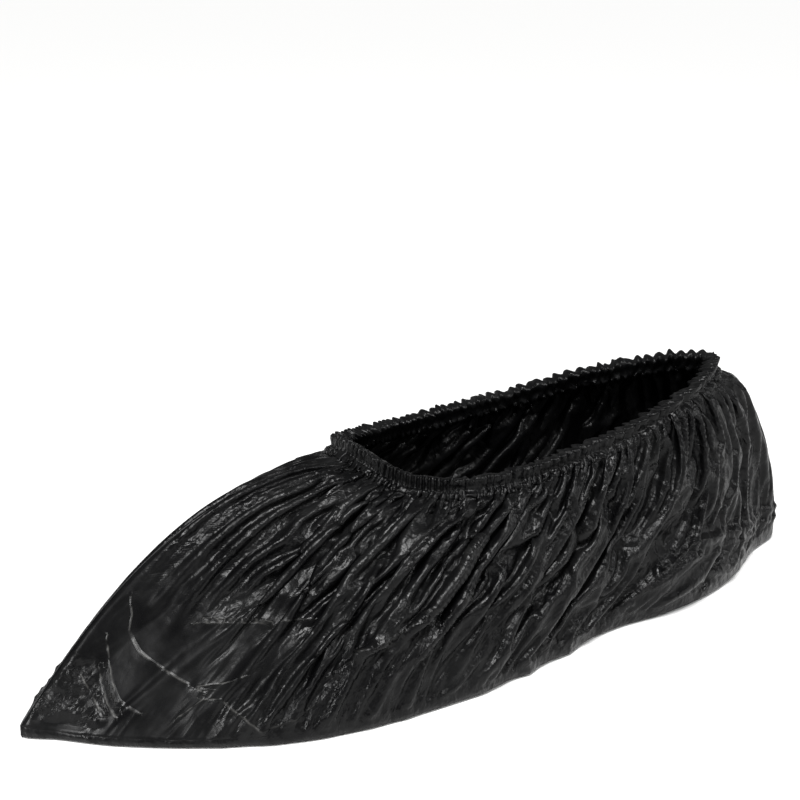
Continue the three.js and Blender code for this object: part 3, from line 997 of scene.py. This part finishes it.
def new_tree(name, sizes):
    """A Geometry Nodes tree with a geometry input and named sizes, and its helper."""
    group = bpy.data.node_groups.new(name, "GeometryNodeTree")
    group.interface.new_socket("Geometry", in_out="INPUT", socket_type="NodeSocketGeometry")
    group.interface.new_socket("Geometry", in_out="OUTPUT", socket_type="NodeSocketGeometry")
    for label, kind in sizes.items():
        group.interface.new_socket(label, in_out="INPUT", socket_type=kind)
    return group, Tree(group)


def apply_tree(thing, group, values):
    """Sets a tree's inputs by identifier, applies it, and leaves a plain mesh."""
    modifier = thing.modifiers.new(group.name, "NODES")
    modifier.node_group = group
    names = {item.name: item.identifier for item in group.interface.items_tree
             if item.in_out == "INPUT"}
    for label, value in values.items():
        modifier[names[label]] = value
    evaluated = thing.evaluated_get(bpy.context.evaluated_depsgraph_get())
    plain = bpy.data.meshes.new_from_object(evaluated)
    thing.modifiers.clear()
    thing.data = plain
    plain.name = thing.name
    return thing


def weld_tree():
    group, tree = new_tree("weld", {
        "Bead radius": "NodeSocketFloat", "Mark pitch": "NodeSocketFloat",
        "Mark radius": "NodeSocketFloat", "Film": "NodeSocketMaterial",
    })
    given = tree.node("NodeGroupInput")
    curve = tree.node("GeometryNodeMeshToCurve", inputs={"Mesh": given["Geometry"]})["Curve"]
    ring = tree.node("GeometryNodeCurvePrimitiveCircle", inputs={
        "Resolution": 6, "Radius": given["Bead radius"]})["Curve"]
    bead = tree.node("GeometryNodeCurveToMesh", inputs={
        "Curve": curve, "Profile Curve": ring, "Fill Caps": True})["Mesh"]
    spots = tree.node("GeometryNodeCurveToPoints", {"mode": "LENGTH"}, {
        "Curve": curve, "Length": given["Mark pitch"]})
    mark = tree.node("GeometryNodeMeshUVSphere", inputs={
        "Segments": 8, "Rings": 5, "Radius": given["Mark radius"]})["Mesh"]
    marks = tree.node("GeometryNodeInstanceOnPoints", inputs={
        "Points": spots["Points"], "Instance": mark, "Rotation": spots["Rotation"],
        "Scale": WELD_MARK_STRETCH})["Instances"]
    joined = tree.node("GeometryNodeJoinGeometry", inputs={"Geometry": marks})
    tree.node_tree.links.new(bead.socket, joined.made.inputs["Geometry"])
    real = tree.node("GeometryNodeRealizeInstances", inputs={"Geometry": joined["Geometry"]})["Geometry"]
    smooth = tree.node("GeometryNodeSetShadeSmooth", inputs={"Geometry": real})["Geometry"]
    finished = tree.node("GeometryNodeSetMaterial", inputs={
        "Geometry": smooth, "Material": given["Film"]})["Geometry"]
    tree.node("NodeGroupOutput", inputs={"Geometry": finished})
    return group


def seam_path(column):
    return draped[NEAR][0][:BAND_ROWS + WALL_ROWS + 2, column]


print("seam at the toe", round(float(arc_lengths(seam_path(0))[-1])), "mm")

# %% [markdown]
# ## The finish of the film
# Thin black polyethylene is glossy, but it has been pressed with a fine slanting pattern that keeps
# its layers apart, and it is crushed from being packed. So it shines in many small flat facets. The
# pattern is kept faint. Thin creases get a painted highlight, a light colour along the line, which is
# strongest where they cross the smooth toe. Everything is laid out in the flat film's own millimetres.

# %% Film
FILM_DARK = (0.0018, 0.0018, 0.002, 1.0)
FILM_DUSTY = (0.006, 0.0061, 0.0062, 1.0)
# The colour of the painted highlight along thin creases.
FILM_PAINTED_HIGHLIGHT = (0.12, 0.118, 0.112, 1.0)
FILM_SPECULAR = 0.15
FILM_ROUGHNESS, ROUGHNESS_SPREAD = 0.25, 0.14
HATCH_PITCH, HATCH_SLOPE = 0.8, (0.8, 0.6)
# Layers as sizes along and down in mm, turn in radians, and strength.
FACET_LAYERS = ((7.0, 10.0, 0.5, 1.0), (3.0, 4.2, -0.4, 0.45))
CRINKLE_LAYERS = ((4.2, 14.0, 0.15, 1.0), (2.2, 5.5, -0.3, 0.6))
CRINKLE_LEAST = 0.2
GRAINS = ((1.9, 3.0, 0.17), (0.7, 2.0, 0.05))  # size in mm, detail and strength
SWIRL, SWAY = (6.0, 5.0), (9.0, 4.0)  # size and reach in mm
RIDGE_HALF, RIDGE_HEIGHT, LINE_HALF = 0.7, 0.14, 0.5
# Patches as size in mm, the noise at which they start and are full, and a shift.
PATCHES = {
    "pattern": (11.0, 0.5, 0.62, 50.0), "facets": (16.0, 0.4, 0.62, 9.0),
    "crinkles": (17.0, 0.4, 0.6, 71.0), "grain": (12.0, 0.3, 0.6, 91.0),
    # The 4 mm patches break up the painted highlight along the thin creases.
    "dust": (30.0, 0.42, 0.75, 21.0), "white": (4.0, 0.38, 0.66, 15.0),
    "gloss": (9.0, 0.3, 0.7, 33.0),
}
PATCH_DETAIL, PATCH_SLANT = 3.0, 0.7
MIX_FACTOR, MIX_A, MIX_B, MIX_COLOUR = 0, 6, 7, 2  # sockets of a Mix node that is set to colours


def new_finish(name):
    material = bpy.data.materials.new(name)
    material.use_nodes = True
    material.node_tree.nodes.clear()
    return material, Tree(material.node_tree)


def laid_out(tree, uv_map):
    """Places on the film in mm, from one of its UV maps."""
    uv = tree.node("ShaderNodeUVMap", {"uv_map": uv_map})["UV"]
    return tree.node("ShaderNodeVectorMath", {"operation": "SCALE"}, {0: uv, "Scale": UV_SPAN})["Vector"]


def attribute(tree, name):
    return tree.node("ShaderNodeAttribute", {"attribute_name": name})["Fac"]


def noise(tree, place, pitch, detail=2.0, output="Fac"):
    return tree.node("ShaderNodeTexNoise", {"noise_dimensions": "2D"}, {
        "Vector": place, "Scale": 1 / pitch, "Detail": detail})[output]


def stretched(tree, place, wide, tall, turn):
    return tree.node("ShaderNodeMapping", inputs={
        "Vector": place, "Rotation": (0, 0, turn), "Scale": (1 / wide, 1 / tall, 1.0)})["Vector"]


def pushed(tree, place, pitch, reach):
    """Places moved about by noise, so that nothing laid out on them looks ruled."""
    centred = tree.node("ShaderNodeVectorMath", {"operation": "SUBTRACT"}, {
        0: noise(tree, place, pitch, output="Color"), 1: (0.5, 0.5, 0.5)})["Vector"]
    return tree.node("ShaderNodeVectorMath", {"operation": "MULTIPLY_ADD"}, {
        0: centred, 1: (reach, reach, 0.0), 2: place})["Vector"]


def facet_cells(tree, place, wide, tall, turn):
    return tree.node("ShaderNodeTexVoronoi", {
        "voronoi_dimensions": "2D", "feature": "F1", "distance": "MANHATTAN"}, {
        "Vector": stretched(tree, place, wide, tall, turn), "Scale": 1.0})["Distance"]


def ridges(tree, place, wide, tall, turn):
    wave = noise(tree, stretched(tree, place, wide, tall, turn), 1.0, 1.0) * 2 - 1
    return 1 - wave.maths("ABSOLUTE")


def patches(tree, place, kind):
    """Nought and one in soft patches."""
    pitch, low, high, shift = PATCHES[kind]
    moved = tree.node("ShaderNodeMapping", inputs={
        "Vector": place, "Location": (shift, shift * PATCH_SLANT, 0)})["Vector"]
    return tree.node("ShaderNodeMapRange", {"clamp": True}, {
        "Value": noise(tree, moved, pitch, PATCH_DETAIL), "From Min": low, "From Max": high})["Result"]


def mixed(tree, factor, first, second):
    return tree.node("ShaderNodeMix", {"data_type": "RGBA"}, {
        MIX_FACTOR: factor, MIX_A: first, MIX_B: second})[MIX_COLOUR]


def pressed_pattern(tree, flat, folds):
    axes = tree.node("ShaderNodeSeparateXYZ", inputs={"Vector": flat})
    turn = 2 * math.pi / HATCH_PITCH
    slant = axes["X"] * (HATCH_SLOPE[0] * turn) + axes["Y"] * (HATCH_SLOPE[1] * turn)
    return slant.maths("SINE") * patches(tree, folds, "pattern")


def crushed_facets(tree, flat):
    (*large, _), (*small, strength) = FACET_LAYERS
    swirled = pushed(tree, flat, *SWIRL)
    return facet_cells(tree, swirled, *large) + facet_cells(tree, swirled, *small) * (
        patches(tree, flat, "facets") * strength)


def crinkles(tree, folds):
    (*large, _), (*small, strength) = CRINKLE_LAYERS
    swayed = pushed(tree, folds, *SWAY)
    return (ridges(tree, swayed, *large) + ridges(tree, swayed, *small) * strength) * (
        patches(tree, folds, "crinkles") * (1 - CRINKLE_LEAST) + CRINKLE_LEAST)


def film_grain(tree, flat, folds):
    (coarse, detail, depth), (fine, fine_detail, fine_depth) = GRAINS
    patched = noise(tree, flat, coarse, detail) * patches(tree, folds, "grain") * depth
    return patched + noise(tree, flat, fine, fine_detail) * fine_depth


def crease_line(tree, half_width):
    """One on a thin crease, and nought from half its width on."""
    distance = attribute(tree, "crease side").maths("ABSOLUTE")
    return (1 - distance * (1 / half_width)).maths("MAXIMUM", 0.0)


def film_relief(tree, flat, folds, crush, crinkle, hatch):
    """Heights in mm of all that is too small for the mesh."""
    near = (attribute(tree, "crease near") * 2).maths("MINIMUM", 1.0)
    ridge = crease_line(tree, RIDGE_HALF) * near
    worn = crushed_facets(tree, flat) * crush + crinkles(tree, folds) * crinkle
    worn = worn + pressed_pattern(tree, flat, folds) * hatch + film_grain(tree, flat, folds)
    return worn * attribute(tree, "crushed") + ridge * RIDGE_HEIGHT


def bumped(tree, height, distance):
    return tree.node("ShaderNodeBump", inputs={
        "Strength": 1.0, "Distance": distance, "Height": height})["Normal"]


def add_surface(tree, colour, roughness, specular, **more):
    shader = tree.node("ShaderNodeBsdfPrincipled", inputs={
        "Base Color": colour, "Roughness": roughness, "Specular IOR Level": specular, **more})["BSDF"]
    tree.node("ShaderNodeOutputMaterial", inputs={"Surface": shader})


def film_finish(name, crush, crinkle, hatch, dust):
    """Film with flat facets, crinkles along its folds, a pressed pattern and dust, by strength."""
    material, tree = new_finish(name)
    flat, folds = laid_out(tree, "film"), laid_out(tree, "folds")
    relief = film_relief(tree, flat, folds, crush, crinkle, hatch)
    dusted = mixed(tree, patches(tree, flat, "dust") * dust, FILM_DARK, FILM_DUSTY)
    # A painted highlight, a light colour along thin creases, strongest on the smooth toe.
    painted_crease_highlight = attribute(tree, "painted_highlight") * crease_line(tree, LINE_HALF) * patches(tree, flat, "white")
    roughness = patches(tree, flat, "gloss") * ROUGHNESS_SPREAD + FILM_ROUGHNESS
    add_surface(tree, mixed(tree, painted_crease_highlight, dusted, FILM_PAINTED_HIGHLIGHT), roughness, FILM_SPECULAR,
                Normal=bumped(tree, relief, MM))
    return material


film_material = film_finish("film", crush=0.6, crinkle=0.2, hatch=0.015, dust=1.0)
hem_material = film_finish("hem film", crush=0.55, crinkle=0.35, hatch=0.015, dust=0.8)
for thing, material in ((film_near, film_material), (film_far, film_material), (hem, hem_material)):
    thing.data.materials.append(material)
print("film finishes ready")

# %% [markdown]
# The welds are plain black film that has been melted, so they are smooth and a little glossy. The
# elastic is pale knitted rubber. Both have a fine grain, and are a little lighter where it stands out.

# %% Weld and elastic finishes
GRAIN_DETAIL = 3.0
GRAIN_SHADE, GRAIN_ROUGHNESS = 0.7, 0.2


def plain_finish(name, colour, roughness, specular, grain_scale, grain_depth):
    """A smooth or knitted finish with a fine grain on Object coordinates."""
    material, tree = new_finish(name)
    place = tree.node("ShaderNodeTexCoord")["Object"]
    grain = tree.node("ShaderNodeTexNoise", inputs={
        "Vector": place, "Scale": grain_scale, "Detail": GRAIN_DETAIL})[0]
    darker = tuple(GRAIN_SHADE * part for part in colour)
    add_surface(tree, mixed(tree, grain, (*darker, 1.0), (*colour, 1.0)),
                grain * GRAIN_ROUGHNESS + roughness, specular,
                Normal=bumped(tree, grain, grain_depth * MM))
    return material


weld_material = plain_finish(
    "weld", (0.006, 0.006, 0.0065), roughness=0.3, specular=0.3, grain_scale=900.0, grain_depth=0.1)
elastic_material = plain_finish(
    "elastic", (0.62, 0.6, 0.55), roughness=0.65, specular=0.3, grain_scale=2500.0, grain_depth=0.3)

weld_group = weld_tree()
welds = []
for name, column in (("toe_weld", 0), ("heel_weld", -1)):
    weld = apply_tree(path_object(name, seam_path(column)), weld_group, {
        "Bead radius": WELD_BEAD * MM, "Mark pitch": WELD_MARK_PITCH * MM,
        "Mark radius": WELD_MARK_RADIUS * MM, "Film": weld_material})
    welds.append(weld)
    print(name, "faces", len(weld.data.polygons))

# %% [markdown]
# ## The elastic
# A flat elastic runs loose in the hem. It is a ribbon swept along the hem, with fine ribs across it
# from its knitting, which a wave on the ribbon's size makes. It leans with the band, so the lean is
# carried on the path as an attribute.

# %% The elastic tree
ELASTIC_WIDTH = 4.0
ELASTIC_THICKNESS = 0.6
ELASTIC_OUT = -2.8
ELASTIC_STEP = 0.6
ELASTIC_RIB = 0.12
ELASTIC_PATH_STEPS = 240


def elastic_tree():
    group, tree = new_tree("elastic", {
        "Width": "NodeSocketFloat", "Thickness": "NodeSocketFloat", "Step": "NodeSocketFloat",
        "Rib": "NodeSocketFloat", "Rubber": "NodeSocketMaterial",
    })
    given = tree.node("NodeGroupInput")
    curve = tree.node("GeometryNodeMeshToCurve", inputs={"Mesh": given["Geometry"]})["Curve"]
    even = tree.node("GeometryNodeResampleCurve", {"mode": "LENGTH"}, {
        "Curve": curve, "Length": given["Step"]})["Curve"]
    upright = tree.node("GeometryNodeSetCurveNormal", {"mode": "Z_UP"}, {"Curve": even})["Curve"]
    lean = tree.node("GeometryNodeInputNamedAttribute", {"data_type": "FLOAT"}, {
        "Name": "lean"})["Attribute"]
    tilted = tree.node("GeometryNodeSetCurveTilt", inputs={"Curve": upright, "Tilt": lean * -1})["Curve"]
    number = tree.node("GeometryNodeInputIndex")["Index"]
    ribbed = (number * math.pi).maths("COSINE") * given["Rib"] + 1.0
    sized = tree.node("GeometryNodeSetCurveRadius", inputs={"Curve": tilted, "Radius": ribbed})["Curve"]
    section = tree.node("GeometryNodeCurvePrimitiveQuadrilateral", {"mode": "RECTANGLE"}, {
        "Width": given["Thickness"], "Height": given["Width"]})["Curve"]
    ribbon = tree.node("GeometryNodeCurveToMesh", inputs={"Curve": sized, "Profile Curve": section})["Mesh"]
    real = tree.node("GeometryNodeRealizeInstances", inputs={"Geometry": ribbon})["Geometry"]
    finished = tree.node("GeometryNodeSetMaterial", inputs={
        "Geometry": real, "Material": given["Rubber"]})["Geometry"]
    tree.node("NodeGroupOutput", inputs={"Geometry": finished})
    return group


def elastic_path():
    """The middle of the elastic all the way round, and the band's lean there."""
    s = np.linspace(0, LAST, ELASTIC_PATH_STEPS)
    halves, leans = [], []
    for side, stations in ((NEAR, s), (FAR, s[-2:0:-1])):
        outward, top = hem_directions(stations, side)
        halves.append(hem_top(stations, side) + ELASTIC_OUT * outward - ELASTIC_BELOW * top)
        leans.append(np.radians(station_value("lean", stations)))
    return np.concatenate(halves), np.concatenate(leans)


ring_points, ring_lean = elastic_path()
elastic = path_object("elastic", ring_points)
elastic.data.edges.add(1)
elastic.data.edges[-1].vertices = (len(ring_points) - 1, 0)
lean_attribute = elastic.data.attributes.new("lean", "FLOAT", "POINT")
lean_attribute.data.foreach_set("value", ring_lean.astype(np.float32))
apply_tree(elastic, elastic_tree(), {
    "Width": ELASTIC_WIDTH * MM, "Thickness": ELASTIC_THICKNESS * MM, "Step": ELASTIC_STEP * MM,
    "Rib": ELASTIC_RIB, "Rubber": elastic_material})
print("elastic faces", len(elastic.data.polygons))

# %% [markdown]
# ## Floor, light and surroundings
# Black film shows little but reflections. A sun lights the whole, and four small lamps stand where the
# film mirrors them towards the camera, so they draw the bright lines along the folds of the toe, the
# front, the side and the heel. The floor is pale and plain.

# %% The stage
FLOOR_HALF = 12.0
FLOOR_COLOUR = (0.8, 0.8, 0.795, 1.0)
FLOOR_ROUGHNESS, FLOOR_SPECULAR = 0.9, 0.1
AIR_LIGHT, AIR_SEEN = 0.2, 1.0  # the strength of the air as light, and as it is seen behind the floor
floor_mesh = bpy.data.meshes.new("floor")
floor_mesh.from_pydata([
    (-FLOOR_HALF, -FLOOR_HALF, 0), (FLOOR_HALF, -FLOOR_HALF, 0),
    (FLOOR_HALF, FLOOR_HALF, 0), (-FLOOR_HALF, FLOOR_HALF, 0)], [], [(0, 1, 2, 3)])
floor = add_object("floor", floor_mesh)
floor_material, floor_tree = new_finish("floor")
add_surface(floor_tree, FLOOR_COLOUR, FLOOR_ROUGHNESS, FLOOR_SPECULAR)
floor_mesh.materials.append(floor_material)

# Kind, name, place in metres, size in metres or for the sun in radians, and strength.
LAMPS = (
    ("SUN", "key lamp", (0.4, -0.3, 1.2), 0.3, 3.6),
    ("AREA", "toe lamp", (0.74, -0.39, 1.24), 0.2, 5.0),
    ("AREA", "front lamp", (0.26, -1.45, 0.62), 0.25, 12.0),
    ("AREA", "side lamp", (1.1, 0.5, 0.85), 0.25, 6.0),
    ("AREA", "heel lamp", (0.7, 1.2, 0.55), 0.2, 3.0),
)
LAMP_TARGET = Vector((0, 0, 0.04))
for kind, name, place, size, power in LAMPS:
    lamp_data = bpy.data.lights.new(name, kind)
    if kind == "SUN":
        lamp_data.angle = size
    else:
        lamp_data.size = size
    lamp_data.energy = power
    lamp = add_object(name, lamp_data)
    lamp.matrix_world = look_from(Vector(place), LAMP_TARGET)

world = bpy.data.worlds.new("studio")
world.use_nodes = True
world.node_tree.nodes.clear()
air = Tree(world.node_tree)
seen = air.node("ShaderNodeLightPath")["Is Camera Ray"]
light = air.node("ShaderNodeBackground", inputs={
    "Color": (1.0, 1.0, 1.0, 1.0), "Strength": seen * (AIR_SEEN - AIR_LIGHT) + AIR_LIGHT})["Background"]
air.node("ShaderNodeOutputWorld", inputs={"Surface": light})
bpy.context.scene.world = world
bpy.context.scene.view_settings.view_transform = "Standard"

# %% [markdown]
# ## Joining the frame
# Every piece rides on the one body and stands for the solid it is drawn over, which is hidden.

# %% Bodies and hidden solids
for thing in (film_near, film_far):
    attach(thing, "root")
    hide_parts("film_bag")
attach(hem, "root")
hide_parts("gathered_hem")
for weld in welds:
    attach(weld, "root")
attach(elastic, "root")
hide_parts("elastic_ring")
